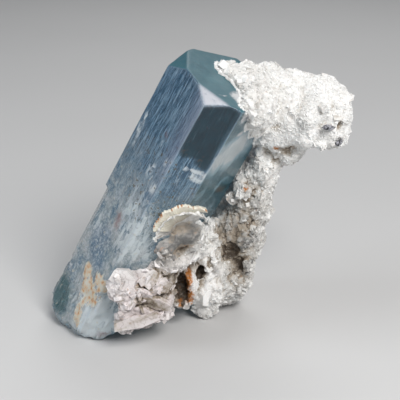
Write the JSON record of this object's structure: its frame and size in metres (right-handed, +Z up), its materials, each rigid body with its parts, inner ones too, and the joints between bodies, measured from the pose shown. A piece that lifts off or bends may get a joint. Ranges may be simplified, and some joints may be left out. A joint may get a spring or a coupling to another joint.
{
  "type": "aquamarine crystal specimen",
  "caption": "stout blue six-sided beryl crystal leaning in a mass of sugary white albite with a knob, a bladed cluster, a small fan and dark mica flakes",
  "frame": {"origin": "middle of the footprint's box, on the surface that the specimen stands on", "axes": "+X is to the right, the way the crystal leans; +Y is to the back; +Z is up"},
  "size_m": [0.0771, 0.0451, 0.073],
  "materials": {
    "aquamarine": "glassy, striated along the crystal, milky low down",
    "albite": "sugary, matte",
    "mica": "dark, pearly"
  },
  "bodies": {
    "root": {"aquamarine_crystal": "aquamarine", "albite_matrix": "albite", "mica_flake_1": "mica", "mica_flake_2": "mica"}
  },
  "joints": []
}
